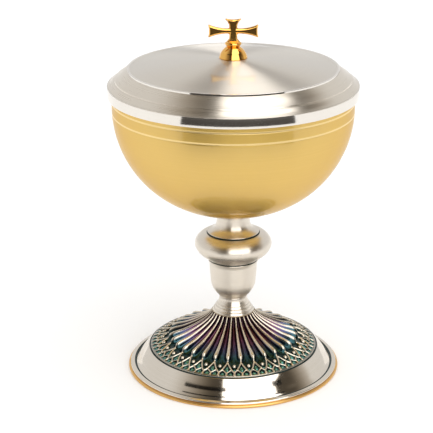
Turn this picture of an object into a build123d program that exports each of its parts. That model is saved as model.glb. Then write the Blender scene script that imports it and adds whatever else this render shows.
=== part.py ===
from build123d import *
from math import cos, hypot, pi
import os

# Ciborium: a covered cup on a turned stem and a spreading foot, in millimetres.
# +Z is up, the origin is the centre of the foot where it stands on the table.
# Every piece is turned about the Z axis except the cross, the nut and the foot's cast relief.
# Section points are (radius, height).

# ---- foot ----
foot_r = 58.6            # outside of the gilt rim wire, the widest point of the foot
rim_wire_h = 1.6         # height of the rim wire
rim_wire_w = 3.4         # width of the rim wire, from its inside to its round outside
flange_wall = 1.2        # sheet of the spun flange
flange_lip_w = 2.4       # band between the rim wire and the dark groove
flange_top_z = 12.3      # seat on which the casting rests
groove_w = 1.1           # dark groove round the flange
groove_deep = 0.7
casting_share = 0.787    # outside of the cast relief's border, as a share of foot_r
border_w = 1.1           # plain border round the relief
border_h = 1.3
seat_w = 2.6             # width of the lip under the casting's border
casting_top_z = 32.4     # flat land that the stem stands on
land_r = 12.0
casting_wall = 1.8
relief_h = 2.0           # height of the ribs above the ground, at the top
relief_end_h = 0.8       # the same at the border
ground_bite = 0.3        # how far the raised relief runs into the ground

# ---- relief on the casting: ribs and beads ----
rib_count = 32
relief_turn = 6.6        # degrees from +X to the first rib
rib_start_r = 12.3
rib_neck_half = 0.42     # half width of a rib where it starts
rib_end_half = 1.75      # half width where it is widest
rib_wide_at = 0.67       # places along the way from the land to the border
rib_tip_at = 0.757
bead_at = 0.833
bead_r = 1.15

# ---- stem ----
rod_r = 3.0              # M6 tie rod
rod_clear = 0.3          # round the rod in each stem piece
thread_clear = 0.05      # plain stand-in for a thread
collar_h = 8.4
collar_foot_r = 11.3
waist_r = 7.6            # narrowest place, between collar and urn
urn_h = 22.9
urn_r = 12.9
urn_lip_r = 13.6
knop_h = 14.9
knop_r = 21.2
knop_top_r = 14.4
knop_wall = 2.0
neck_h = 12.4
neck_r = 9.1
neck_rim_h = 0.8         # thin edge of the neck where it lies on the knop

# ---- clamp under the foot ----
clamp_in = 2.0           # from the land's edge in to the clamp plate's edge
clamp_h = 2.0
lock_washer_h = 1.0
nut_flats = 10 / 3 * rod_r
nut_h = 5 / 3 * rod_r
rod_below_nut = 1.6

# ---- bowl ----
bowl_r = 64.6
bowl_wall = 1.2
bowl_depth = 69.2        # outside, from the lowest point of its curve to the lip
bowl_round_share = 0.866  # share of the depth that is rounded, the rest is upright
bowl_round_limit = 0.927  # most height of the rounded part, as a share of bowl_r
bowl_side_share = 0.977  # radius of its upper arc, as a share of the rounded height
bowl_flat_r = 8.4        # flat under the bowl, for the boss
line_w = 0.6             # two engraved lines below the lip
line_deep = 0.18
line_drops = (6.0, 11.8)
boss_r = 6.0
boss_h = 6.5
boss_hole_deep = 5.5

# ---- lid ----
lid_wall = 1.2
lid_gap = 1.0            # between the bowl's side and the lid's band
lid_seat_gap = 0.1       # between the bowl's lip and the lid's seat
lid_overlap = 3.2        # how far the band hangs below the bowl's lip
lid_band_h = 5.8
lid_shoulder_r = 0.9     # rounding at the top of the band
step_in = 4.1            # small step, measured inwards from the band
step_rise = 3.0          # and upwards from the top of the band
step_h = 0.45
ridge_in = 11.2          # raised ridge round the dome
ridge_rise = 8.4
ridge_w = 0.9
ridge_h = 0.5
dome_rise = 5.4          # from the foot of the ridge to the top land
top_land_r = 8.2
seat_ring_h = 1.0
skirt_wall = 1.0
skirt_gap = 1.3          # between the bowl's inside and the lid's skirt
skirt_h = 6.0

# ---- finial ----
screw_r = 1.5            # M3 screw
screw_clear = 0.2
screw_head_r = 2.8
screw_head_h = 2.0
screw_in_cross = 2.2
washer_r = 6.0
washer_h = 1.0
boss_foot_r = 7.5
boss_top_r = 3.9
finial_boss_h = 6.0
cross_collar_r = 4.3
cross_collar_h = 2.9
cross_span = 27.0        # across the arms, before their corners are rounded
cross_top_h = 7.0        # from the centre of the arms to the top, before rounding
cross_centre_h = 8.4     # from the collar's underside to the centre of the arms
cross_depth = 2.6
arm_end_half = 3.65      # half height of an arm's end
arm_waist_half = 1.05    # half height of an arm at its narrowest
post_end_half = 4.6      # half width of the top
post_waist_half = 1.7
end_hollow = 0.6         # how far an arm's end is hollowed
cross_corner = 0.45      # rounding of its corners, seen from the front
cross_edge = 0.35        # rounding of its front and back edges

# ---- sizes and heights that follow from the above ----
casting_r = casting_share * foot_r
rib_wide_r = land_r + rib_wide_at * (casting_r - land_r)
rib_tip_r = land_r + rib_tip_at * (casting_r - land_r)
bead_at_r = land_r + bead_at * (casting_r - land_r)
clamp_r = land_r - clamp_in
lock_washer_r = 0.56 * nut_flats
bowl_round_h = min(bowl_round_share * bowl_depth, bowl_round_limit * bowl_r)
bowl_side_arc = bowl_side_share * bowl_round_h
collar_z = casting_top_z
urn_z = collar_z + collar_h
knop_z = urn_z + urn_h
neck_z = knop_z + knop_h
bowl_z = neck_z + neck_h - neck_rim_h
lip_z = bowl_z + bowl_depth
side_z = bowl_z + bowl_round_h
band_r = bowl_r + lid_gap + lid_wall
band_z = lip_z - lid_overlap
shoulder_z = band_z + lid_band_h
ridge_z = shoulder_z + ridge_rise
lid_top_z = ridge_z + dome_rise
finial_z = lid_top_z + finial_boss_h
cross_z = finial_z + cross_centre_h
bore_r = rod_r + rod_clear


def turned(start, *path):
    """A closed section turned about Z. Each item is a point to run straight to, a pair of
    points for an arc through the first to the second, or three for a Bezier curve."""
    edges = []
    here = start
    for item in path:
        steps = item if isinstance(item[0], tuple) else (item,)
        curve = {1: Line, 2: ThreePointArc, 3: Bezier}[len(steps)]
        edges.append(curve(*[Vector(r, 0, z) for r, z in (here, *steps)]))
        here = steps[-1]
    if hypot(here[0] - start[0], here[1] - start[1]) > 1e-6:
        edges.append(Line(Vector(here[0], 0, here[1]), Vector(start[0], 0, start[1])))
    return revolve(Face(Wire(edges)), Axis.Z)


def tube(inner, outer, low, high):
    """A plain ring between two radii and two heights."""
    return turned((inner, low), (outer, low), (outer, high), (inner, high))


def between(a, b, share, bulge=0.0):
    """The point at a share of the way from a to b, moved sideways by bulge, to the right
    of the way from a to b."""
    dr, dz = b[0] - a[0], b[1] - a[1]
    length = hypot(dr, dz)
    return (a[0] + share * dr + bulge * dz / length, a[1] + share * dz - bulge * dr / length)


def foot_rim_wire():
    """Half-round wire under the flange, flat where it stands."""
    inside = foot_r - rim_wire_w
    crown = foot_r - rim_wire_h / 2
    return turned(
        (inside, 0),
        (crown, 0),
        ((foot_r, rim_wire_h / 2), (crown, rim_wire_h)),
        (inside, rim_wire_h),
    )


def foot_flange():
    """Spun flange: a lip on the rim wire, a dark groove, a round swell and a hollow rising
    to the casting's seat. The inside follows the outside, one sheet in."""
    lip_out = foot_r - rim_wire_h / 2 + 0.2
    lip_in = lip_out - flange_lip_w
    lip_z = rim_wire_h + 1.5
    groove_in = lip_in - groove_w
    swell = (groove_in - 3.0, flange_top_z - 4.3)
    top_out = casting_r + 0.7
    seat_in = casting_r - seat_w
    shift = flange_wall * 0.72

    def inside(point):
        return (point[0] - shift, point[1] - shift)

    groove_foot = (groove_in, lip_z + 0.4)
    swell_mid = between(groove_foot, swell, 0.5, 0.8)
    hollow_mid = between(swell, (top_out, flange_top_z), 0.5, -0.5)
    return turned(
        (lip_out, rim_wire_h),
        ((lip_out + 0.1, rim_wire_h + 0.7), (lip_out - 0.7, lip_z - 0.4)),
        (lip_in, lip_z),
        (lip_in - groove_w / 2, lip_z - groove_deep),
        groove_foot,
        (swell_mid, swell),
        (hollow_mid, (top_out, flange_top_z)),
        (seat_in, flange_top_z),
        (seat_in, flange_top_z - flange_wall),
        (top_out - flange_wall * 1.2, flange_top_z - flange_wall),
        (inside(hollow_mid), inside(swell)),
        (inside(swell_mid), inside(groove_foot)),
        (foot_r - rim_wire_w, rim_wire_h + 0.6),
        (foot_r - rim_wire_w, rim_wire_h),
    )


def crest(top_drop=0.0, end_drop=0.0):
    """Control points of the casting's outside in section, a trumpet curve from the land at
    the top to the border, lowered by the drops at its two ends."""
    outer = casting_r - border_w
    low = flange_top_z + border_h - 0.2
    rise = casting_top_z - low
    width = outer - land_r
    return (
        (land_r, casting_top_z - top_drop),
        (land_r + 0.11 * width, low + 0.62 * rise - top_drop),
        (land_r + 0.67 * width, low + 0.37 * rise - (top_drop + end_drop) / 2),
        (outer, low - end_drop),
    )


def relief_band():
    """Space between the crest and just under the ground, that the relief fills in part."""
    top = crest()
    low = crest(relief_h + ground_bite, relief_end_h + ground_bite)
    return turned(top[0], top[1:], low[3], (low[2], low[1], low[0]))


def rib():
    """Upright bar in plan like a long leaf, widest near its outer end."""
    half = [
        (rib_start_r, rib_neck_half),
        (rib_wide_r, rib_end_half),
        (rib_wide_r + 1.6, rib_end_half * 0.72),
        (rib_tip_r, rib_end_half * 0.2),
    ]
    corners = [Vector(r, h, 0) for r, h in half] + [Vector(r, -h, 0) for r, h in reversed(half)]
    return extrude(Face(Wire.make_polygon(corners)), casting_top_z + 1, dir=(0, 0, 1))


def bead():
    """Round post beside the rib, half a repeat on."""
    post = Cylinder(bead_r, casting_top_z + 1, align=(Align.CENTER, Align.CENTER, Align.MIN))
    return post.moved(Location((bead_at_r, 0, 0))).rotate(Axis.Z, 180 / rib_count)


def foot_casting():
    """Cast dome, hollow below, with ribs and beads standing on its ground inside a plain
    border. Its rim rests on the flange."""
    ground = crest(relief_h, relief_end_h)
    under_z = clamp_under_z()
    border_in = casting_r - border_w
    hollow = crest(relief_h + casting_wall, relief_end_h + casting_wall)
    body = turned(
        (bore_r, casting_top_z),
        (land_r, casting_top_z),
        ground[0],
        ground[1:],
        (border_in, flange_top_z + border_h * 0.8),
        ((casting_r - border_w / 2, flange_top_z + border_h),
         (casting_r, flange_top_z + border_h * 0.5)),
        (casting_r, flange_top_z),
        (casting_r - seat_w, flange_top_z),
        (hollow[2], hollow[1], (land_r, under_z)),
        (bore_r, under_z),
    )
    band = relief_band()
    raised = [
        (piece & band).rotate(Axis.Z, relief_turn + i * 360 / rib_count)
        for piece in (rib(), bead())
        for i in range(rib_count)
    ]
    return body.fuse(*[solid for piece in raised for solid in piece.solids()])


def lower_collar():
    """Stepped cone that stands on the casting, narrowing to the waist."""
    steps = ((0.0, 0.9), (0.9, 2.0), (2.0, 3.2))
    base, top = (collar_foot_r, collar_z), (waist_r, urn_z)
    path = [(collar_foot_r, collar_z)]
    for low, high in steps:
        share = low / collar_h
        r = collar_foot_r - 0.45 * (collar_foot_r - waist_r) * (share * 2)
        path += [(r, collar_z + low + 0.15), (r - 0.1, collar_z + high - 0.15)]
    cone = path[-1]
    path.append((between(cone, top, 0.55, -0.35), top))
    return turned((bore_r, collar_z), *path, (bore_r, urn_z))


def stem_urn():
    """Vase below the knop: round base, nearly straight side and a small lip."""
    base = (waist_r, urn_z)
    shoulder = (urn_r - 1.2, urn_z + 6.6)
    lip_low = knop_z - 2.0
    return turned(
        (bore_r, urn_z),
        base,
        (waist_r + 0.1, urn_z + 0.7),
        (between((waist_r + 0.1, urn_z + 0.7), shoulder, 0.6, 0.75), shoulder),
        (between(shoulder, (urn_r + 0.2, lip_low), 0.35, 0.35), (urn_r + 0.2, lip_low)),
        ((urn_lip_r - 0.1, lip_low + 0.5), (urn_lip_r, lip_low + 1.1)),
        (urn_lip_r, knop_z - 0.3),
        (urn_lip_r - 0.5, knop_z),
        (bore_r, knop_z),
    )


def knop():
    """Hollow bulb in the middle of the stem, closed at both ends round the rod."""
    low_r = urn_lip_r
    waist = knop_z + 7.6
    low = (low_r, knop_z + 0.35)
    wide = (knop_r, waist)
    high = (knop_top_r + 0.1, neck_z - 0.1)
    hollow_low, hollow_high = knop_z + knop_wall, neck_z - knop_wall
    outer = turned(
        (bore_r, knop_z),
        (low_r - 0.5, knop_z),
        low,
        (between(low, wide, 0.55, 1.2), wide),
        (between(wide, high, 0.45, 1.9), high),
        (knop_top_r - 0.5, neck_z),
        (bore_r, neck_z),
    )
    inner_low, inner_high = low_r - knop_wall, knop_top_r - knop_wall
    hollow = turned(
        (bore_r + knop_wall, hollow_low),
        (inner_low, hollow_low),
        ((knop_r - knop_wall, waist), (inner_high, hollow_high)),
        (bore_r + knop_wall, hollow_high),
    )
    return outer - hollow


def neck_collar():
    """Concave neck between knop and bowl, counterbored for the bowl's boss."""
    rim = (knop_top_r - 0.1, neck_z)
    rim_top = (knop_top_r - 0.2, neck_z + neck_rim_h)
    throat = (neck_r, neck_z + neck_h * 0.52)
    top_z = bowl_underside_z()
    socket_r = boss_r + rod_clear
    socket_z = top_z - boss_h - rod_clear
    return turned(
        (bore_r, neck_z),
        rim,
        rim_top,
        (between(rim_top, throat, 0.5, -0.75), throat),
        (neck_r, top_z - 1.2),
        ((neck_r + 0.1, top_z - 0.9), (neck_r + 0.4, top_z - 0.7)),
        (neck_r + 0.4, top_z),
        (socket_r, top_z),
        (socket_r, socket_z),
        (bore_r, socket_z),
    )


def bowl_arcs(side_r, arc_r, pole_z):
    """Centres of the two tangent arcs of the bowl's section: an upper arc of radius arc_r
    that ends upright at side_r, and a lower one centred on the axis that reaches pole_z."""
    centre_r = side_r - arc_r
    drop = side_z - pole_z
    lower = (centre_r**2 + drop**2 - arc_r**2) / (2 * (drop - arc_r))
    low_centre_z = pole_z + lower
    share = lower / (lower - arc_r)
    meet = (centre_r * share, low_centre_z + (side_z - low_centre_z) * share)
    return centre_r, lower, low_centre_z, meet


def bowl_side(side_r, arc_r, pole_z, flat_r):
    """Section items from the flat under the bowl up to where its side is upright."""
    centre_r, lower, low_centre_z, meet = bowl_arcs(side_r, arc_r, pole_z)
    flat_z = low_centre_z - (lower**2 - flat_r**2) ** 0.5
    mid_low_r = (flat_r + meet[0]) / 2
    mid_low = (mid_low_r, low_centre_z - (lower**2 - mid_low_r**2) ** 0.5)
    mid_r = (meet[0] + side_r) / 2 + 0.15 * (side_r - meet[0])
    mid_high = (mid_r, side_z - (arc_r**2 - (mid_r - centre_r) ** 2) ** 0.5)
    return (flat_r, flat_z), mid_low, meet, mid_high, (side_r, side_z)


def bowl_shell():
    """Spun cup with a rounded lip and two engraved lines outside."""
    inner_r = bowl_r - bowl_wall
    out_flat, out_low, out_meet, out_high, out_side = bowl_side(
        bowl_r, bowl_side_arc, bowl_z, bowl_flat_r)
    in_flat, in_low, in_meet, in_high, in_side = bowl_side(
        inner_r, bowl_side_arc - bowl_wall, bowl_z + bowl_wall, 0.0)
    shell = turned(
        (0, out_flat[1]),
        out_flat,
        (out_low, out_meet),
        (out_high, out_side),
        (bowl_r, lip_z - bowl_wall / 2),
        ((bowl_r - bowl_wall / 2, lip_z), (inner_r, lip_z - bowl_wall / 2)),
        in_side,
        (in_high, in_meet),
        (in_low, in_flat),
    )
    for drop in line_drops:
        z = lip_z - drop
        below = max(side_z - z, 0)
        edge_r = bowl_r - bowl_side_arc + (bowl_side_arc**2 - below**2) ** 0.5
        shell -= tube(edge_r - line_deep, edge_r + 1, z - line_w / 2, z + line_w / 2)
    return shell


def bowl_underside_z():
    """Height of the flat under the bowl."""
    return bowl_side(bowl_r, bowl_side_arc, bowl_z, bowl_flat_r)[0][1]


def bowl_boss():
    """Threaded boss brazed under the bowl."""
    top = bowl_underside_z()
    boss = Cylinder(boss_r, boss_h, align=(Align.CENTER, Align.CENTER, Align.MAX))
    hole = Cylinder(rod_r + thread_clear, boss_hole_deep,
                    align=(Align.CENTER, Align.CENTER, Align.MIN))
    return boss.moved(Location((0, 0, top))) - hole.moved(Location((0, 0, top - boss_h)))


def clamp_under_z():
    """Underside of the casting's land, where the clamp plate bears."""
    return casting_top_z - relief_h - casting_wall


def clamp_plate():
    top = clamp_under_z()
    return tube(bore_r, clamp_r, top - clamp_h, top)


def lock_washer():
    top = clamp_under_z() - clamp_h
    return tube(bore_r, lock_washer_r, top - lock_washer_h, top)


def tie_nut():
    """Hexagon nut with chamfered corners."""
    top = clamp_under_z() - clamp_h - lock_washer_h
    hexagon = RegularPolygon(nut_flats / 2, 6, major_radius=False)
    block = extrude(hexagon, nut_h).moved(Location((0, 0, top - nut_h)))
    corner_r = nut_flats / 2 / cos(pi / 6)
    chamfer = turned(
        (0, top - nut_h),
        (nut_flats / 2 - 0.2, top - nut_h),
        (corner_r, top - nut_h + 0.6),
        (corner_r, top - 0.6),
        (nut_flats / 2 - 0.2, top),
        (0, top),
    )
    return (block & chamfer) - tube(0, rod_r + thread_clear, top - nut_h - 1, top + 1)


def tie_rod():
    """Threaded rod from below the nut up into the bowl's boss."""
    low = clamp_under_z() - clamp_h - lock_washer_h - nut_h - rod_below_nut
    high = bowl_underside_z() - boss_h + boss_hole_deep - 0.5
    return turned((0, low), (rod_r - 0.5, low), (rod_r, low + 0.5), (rod_r, high - 0.5),
                  (rod_r - 0.5, high), (0, high))


def lid_outline():
    """Points of the lid's outside, from the foot of the band up to the top land."""
    step_r = band_r - step_in
    ridge_r = band_r - ridge_in
    return {
        "band_low": (band_r, band_z),
        "band_high": (band_r, shoulder_z - lid_shoulder_r),
        "shoulder": (band_r - lid_shoulder_r, shoulder_z),
        "step_low": (step_r + 0.15, shoulder_z + step_rise - 0.1),
        "step_high": (step_r - 0.1, shoulder_z + step_rise + step_h),
        "ridge_low": (ridge_r + 0.35, ridge_z - 0.5),
        "ridge_out": (ridge_r + 0.1, ridge_z + ridge_h * 0.6),
        "ridge_in": (ridge_r - ridge_w, ridge_z + ridge_h),
        "dome_foot": (ridge_r - ridge_w - 0.4, ridge_z + 0.35),
        "land": (top_land_r, lid_top_z),
    }


def lid_shell():
    """Spun lid: upright band, sloping shoulder with a small step, a raised ridge and a
    shallow dome."""
    p = lid_outline()
    inner = band_r - lid_wall
    screw_hole = screw_r + screw_clear
    under_land = (top_land_r, lid_top_z - lid_wall)
    dome_in = (p["dome_foot"][0] - 0.2, p["dome_foot"][1] - lid_wall)
    seat_top = lip_z + lid_seat_gap + seat_ring_h
    return turned(
        (screw_hole, lid_top_z),
        p["land"],
        (between(p["land"], p["dome_foot"], 0.5, -1.0), p["dome_foot"]),
        p["ridge_in"],
        (between(p["ridge_in"], p["ridge_out"], 0.5, -0.15), p["ridge_out"]),
        p["ridge_low"],
        p["step_high"],
        p["step_low"],
        p["shoulder"],
        (between(p["shoulder"], p["band_high"], 0.5, -0.2), p["band_high"]),
        (band_r, band_z + 0.4),
        (band_r - 0.4, band_z),
        (inner, band_z),
        (inner, seat_top + 0.6),
        (p["step_low"][0] - 1.0, p["step_low"][1] - lid_wall),
        (p["ridge_low"][0] - 0.7, p["ridge_low"][1] - lid_wall * 0.7),
        dome_in,
        (between(dome_in, under_land, 0.5, 1.0), under_land),
        (screw_hole, lid_top_z - lid_wall),
    )


def lid_seat_ring():
    """Ring soldered inside the lid: a flat seat on the bowl's lip, and a skirt that
    centres the lid in the bowl."""
    seat_z = lip_z + lid_seat_gap
    skirt_r = bowl_r - bowl_wall - skirt_gap
    low = seat_z - skirt_h
    return turned(
        (band_r - lid_wall, seat_z),
        (band_r - lid_wall, seat_z + seat_ring_h),
        (skirt_r - skirt_wall, seat_z + seat_ring_h),
        (skirt_r - skirt_wall, low),
        (skirt_r - 0.4, low),
        (skirt_r, low + 0.6),
        (skirt_r, seat_z),
    )


def finial_washer():
    top = lid_top_z - lid_wall
    return tube(screw_r + screw_clear, washer_r, top - washer_h, top)


def finial_screw():
    """Pan-head screw from inside the lid up into the foot of the cross."""
    head_top = lid_top_z - lid_wall - washer_h
    tip = finial_z + screw_in_cross
    low = head_top - screw_head_h
    screw = turned(
        (0, low),
        (screw_head_r - 0.9, low),
        ((screw_head_r - 0.25, low + 0.4), (screw_head_r, head_top - 0.5)),
        (screw_head_r, head_top),
        (screw_r, head_top),
        (screw_r, tip - 0.4),
        (screw_r - 0.4, tip),
        (0, tip),
    )
    slot = Box(2 * screw_head_r, 0.8, 1.6)
    return screw - slot.moved(Location((0, 0, low)))


def finial_boss():
    """Bell under the cross, with a thin edge on the lid."""
    foot = (boss_foot_r - 0.15, lid_top_z + 0.8)
    top = (boss_top_r, finial_z)
    return turned(
        (screw_r + screw_clear, lid_top_z),
        (boss_foot_r - 0.3, lid_top_z),
        ((boss_foot_r, lid_top_z + 0.35), foot),
        (between(foot, top, 0.5, 1.0), top),
        (screw_r + screw_clear, finial_z),
    )


def cross_outline():
    """Cross with arms that widen in hollow curves to their ends, seen from the front,
    centred on its crossing. The lower arm runs down into the collar."""
    x_end, x_corner = cross_span / 2 - end_hollow, cross_span / 2
    z_end, z_corner = cross_top_h - end_hollow, cross_top_h
    foot_z = -(cross_centre_h - cross_collar_h + 0.6)
    foot_half = cross_collar_r - 0.7
    crotch = (post_waist_half + 0.35, arm_waist_half + 0.35)

    def arc(a, mid, b):
        return ThreePointArc(*[Vector(x, 0, z) for x, z in (a, mid, b)])

    right = [
        arc((-post_end_half, z_corner), (0, z_end), (post_end_half, z_corner)),
        arc((post_end_half, z_corner), (post_waist_half + 0.55, z_corner * 0.55), crotch),
        arc(crotch, (x_corner * 0.58, arm_waist_half + 0.75), (x_corner, arm_end_half)),
        arc((x_corner, arm_end_half), (x_end, 0), (x_corner, -arm_end_half)),
        arc((x_corner, -arm_end_half), (x_corner * 0.58, -arm_waist_half - 0.75),
            (crotch[0], -crotch[1])),
        arc((crotch[0], -crotch[1]), (post_waist_half + 0.3, foot_z * 0.5), (foot_half, foot_z)),
    ]
    left = [edge.mirror(Plane.YZ) for edge in right[1:]]
    base = Line(Vector(foot_half, 0, foot_z), Vector(-foot_half, 0, foot_z))
    sharp = Face(Wire(right + left + [base]))
    return fillet(sharp.vertices(), cross_corner)


def finial_cross():
    """Cast cross on a round collar, tapped for the finial screw."""
    plate = extrude(cross_outline(), cross_depth, dir=(0, 1, 0))
    plate = fillet(plate.edges().filter_by(Axis.Y, reverse=True), cross_edge)
    plate = plate.moved(Location((0, -cross_depth / 2, cross_z)))
    collar_top = finial_z + cross_collar_h
    collar = turned(
        (0, finial_z),
        (boss_top_r - 0.4, finial_z),
        (cross_collar_r, finial_z + cross_collar_h * 0.5),
        ((cross_collar_r + 0.05, finial_z + cross_collar_h * 0.62),
         (cross_collar_r - 0.25, finial_z + cross_collar_h * 0.78)),
        (cross_collar_r - 1.4, collar_top),
        (0, collar_top),
    )
    hole = Cylinder(screw_r + thread_clear, 2 * (screw_in_cross + 0.5))
    return (plate + collar) - hole.moved(Location((0, 0, finial_z)))


nodes = [foot_rim_wire, foot_flange, foot_casting, lower_collar, stem_urn, knop, neck_collar,
         clamp_plate, lock_washer, tie_nut, tie_rod, bowl_shell, bowl_boss, lid_shell,
         lid_seat_ring, finial_washer, finial_screw, finial_boss, finial_cross]

os.makedirs("parts", exist_ok=True)
for build in nodes:
    export_step(build(), f"parts/{build.__name__}.step")
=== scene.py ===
"""Ciborium: a gilt bowl with a silvered lid, on a turned stem and a fluted foot."""
import math

import bmesh
import bpy
import numpy as np
from mathutils import Matrix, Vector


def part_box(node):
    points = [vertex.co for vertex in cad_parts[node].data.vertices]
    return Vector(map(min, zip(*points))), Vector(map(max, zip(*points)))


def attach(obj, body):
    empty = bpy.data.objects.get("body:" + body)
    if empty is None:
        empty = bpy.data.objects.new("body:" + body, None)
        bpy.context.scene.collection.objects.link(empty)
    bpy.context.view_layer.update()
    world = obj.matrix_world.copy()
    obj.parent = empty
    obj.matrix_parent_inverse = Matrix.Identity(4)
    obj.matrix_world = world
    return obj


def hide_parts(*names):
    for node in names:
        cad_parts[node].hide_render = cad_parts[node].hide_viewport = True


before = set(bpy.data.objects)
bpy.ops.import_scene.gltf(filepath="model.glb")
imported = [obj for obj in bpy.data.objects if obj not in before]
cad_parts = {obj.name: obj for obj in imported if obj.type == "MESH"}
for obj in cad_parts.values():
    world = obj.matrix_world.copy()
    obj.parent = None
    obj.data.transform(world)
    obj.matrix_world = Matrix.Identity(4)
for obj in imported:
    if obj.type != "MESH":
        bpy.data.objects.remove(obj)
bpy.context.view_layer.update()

MM = 0.001
AROUND = 288              # sides of a turned piece
RIBS = 32                 # repeats of the foot's relief
SIDES_PER_RIB = 26
CREST_STEPS = 400         # points on the relief's crest
LATHE_GRAIN = 2600.0      # fineness of the turning marks

# ---------------------------------------------------------------- heights, in mm


def low(node):
    """Height of a CAD piece's underside."""
    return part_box(node)[0][2] / MM


def high(node):
    """Height of a CAD piece's top."""
    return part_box(node)[1][2] / MM


CASTING_TOP = high("foot_casting")
URN_LOW = low("stem_urn")
KNOP_LOW = low("knop")
NECK_LOW = low("neck_collar")
BOWL_LOW = low("bowl_shell")
LIP = high("bowl_shell")
BAND_LOW = low("lid_shell")
LID_TOP = high("lid_shell")
FINIAL_TOP = high("finial_boss")
SEAT = low("foot_casting")
RIM_TOP = high("foot_rim_wire")
BOWL_POLE = BOWL_LOW - 0.487   # lowest point of the bowl's outer arc, below its flat seat
LINE_DROPS = (6.0, 11.8)       # the bowl's two bright lines, below its lip

# ---------------------------------------------------------------- radii and turns, in mm
ROD_HOLE = 3.3            # for the tie rod, through every piece from the foot to the neck
SCREW_HOLE = 1.7          # for the finial's screw
FOOT_R = 58.6
WIRE_IN = 55.2            # inside of the foot's wire, and of the flange that stands on it
RELIEF_SEAT = 43.5        # inner edge of the relief's seat in the flange
LAND_R = 12.0             # flat land at the top of the relief
CREST_R = 45.0            # where the crest meets the border
LATTICE_IN = 36.4         # from here outwards the relief needs finer rings
BEAD_R = 39.75            # middles of the beads
LATTICE_R = 41.0          # radius at which the lattice was laid out
RIB_BLUNT = 33.2          # where a rib starts to close
RIB_TIP = 36.9
RELIEF_TURN = 6.6         # degrees from +X to the first rib
BOWL_R = 64.6
BOWL_BEND = 58.53         # radius of the arc that turns into the upright side
BOWL_SHEET = 1.2
BOWL_SEAT = 8.4           # flat under the bowl
LID_SHEET = 1.2
LID_BORE = 65.6           # inside of the lid's band


# ---------------------------------------------------------------- sections
def arc(a, mid, b, pitch):
    """Points on the circle through three points, at even steps of angle."""
    (ax, ay), (bx, by), (cx, cy) = a, mid, b
    d = 2 * (ax * (by - cy) + bx * (cy - ay) + cx * (ay - by))
    sa, sb, sc = ax * ax + ay * ay, bx * bx + by * by, cx * cx + cy * cy
    ox = (sa * (by - cy) + sb * (cy - ay) + sc * (ay - by)) / d
    oy = (sa * (cx - bx) + sb * (ax - cx) + sc * (bx - ax)) / d
    radius = math.hypot(ax - ox, ay - oy)
    t0, t1, t2 = (math.atan2(y - oy, x - ox) for x, y in (a, mid, b))
    turn = (t2 - t0) % (2 * math.pi)
    if (t1 - t0) % (2 * math.pi) > turn:
        turn -= 2 * math.pi
    count = max(3, int(abs(turn) * radius / pitch) + 1)
    t = t0 + turn * np.linspace(0, 1, count)[1:]
    return np.column_stack([ox + radius * np.cos(t), oy + radius * np.sin(t)])


def curve(points, pitch):
    """Natural cubic spline through the points, by chord length: the second derivatives at
    the points solve a three-banded set of equations."""
    p = np.array(points, float)
    s = np.concatenate([[0], np.cumsum(np.hypot(*np.diff(p, axis=0).T))])
    h = np.diff(s)
    n = len(p)
    a = np.eye(n)
    rhs = np.zeros_like(p)
    for i in range(1, n - 1):
        a[i, i - 1:i + 2] = h[i - 1], 2 * (h[i - 1] + h[i]), h[i]
        rhs[i] = 6 * ((p[i + 1] - p[i]) / h[i] - (p[i] - p[i - 1]) / h[i - 1])
    m = np.linalg.solve(a, rhs)
    t = np.linspace(0, s[-1], max(4, int(s[-1] / pitch) + 1))[1:]
    k = np.clip(np.searchsorted(s, t) - 1, 0, n - 2)
    u, v, w = (t - s[k])[:, None], (s[k + 1] - t)[:, None], h[k][:, None]
    return (m[k] * v**3 + m[k + 1] * u**3) / (6 * w) + (p[k] / w - m[k] * w / 6) * v \
        + (p[k + 1] / w - m[k + 1] * w / 6) * u


def section(start, *steps, pitch=0.6):
    """Dense points along a section, in mm. A step is a point to run straight to, a pair of
    points for an arc, or a longer list for a spline."""
    parts = [np.array([start], float)]
    here = tuple(start)
    for step in steps:
        if not isinstance(step[0], (tuple, list)):
            parts.append(np.array([step], float))
            here = tuple(step)
        elif len(step) == 2:
            parts.append(arc(here, step[0], step[1], pitch))
            here = tuple(step[1])
        else:
            parts.append(curve([here, *step], pitch))
            here = tuple(step[-1])
    return np.concatenate(parts)


# ---------------------------------------------------------------- meshes
def mesh_object(name, verts, faces, uv=None, crease=28):
    """Mesh from arrays of points in mm and of faces, smooth but crisp at sharp edges."""
    mesh = bpy.data.meshes.new(name)
    mesh.from_pydata((np.asarray(verts) * MM).tolist(), [], [list(f) for f in faces])
    mesh.update()
    if uv is not None:
        layer = mesh.uv_layers.new(name="around")
        loops = np.empty(len(mesh.loops), dtype=np.int32)
        mesh.loops.foreach_get("vertex_index", loops)
        layer.data.foreach_set("uv", uv[loops].astype(np.float32).ravel())
    mesh.shade_smooth()
    mesh.set_sharp_from_angle(angle=math.radians(crease))
    obj = bpy.data.objects.new(name, mesh)
    bpy.context.scene.collection.objects.link(obj)
    return obj


def grid_faces(rows, sides, closed):
    """Quads between neighbouring rings, with the last side joined to the first."""
    i = np.arange(rows if closed else rows - 1)[:, None]
    j = np.arange(sides)[None, :]
    i2, j2 = (i + 1) % rows, (j + 1) % sides
    quad = np.stack([i * sides + j, i * sides + j2, i2 * sides + j2, i2 * sides + j], axis=-1)
    return quad.reshape(-1, 4)


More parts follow.
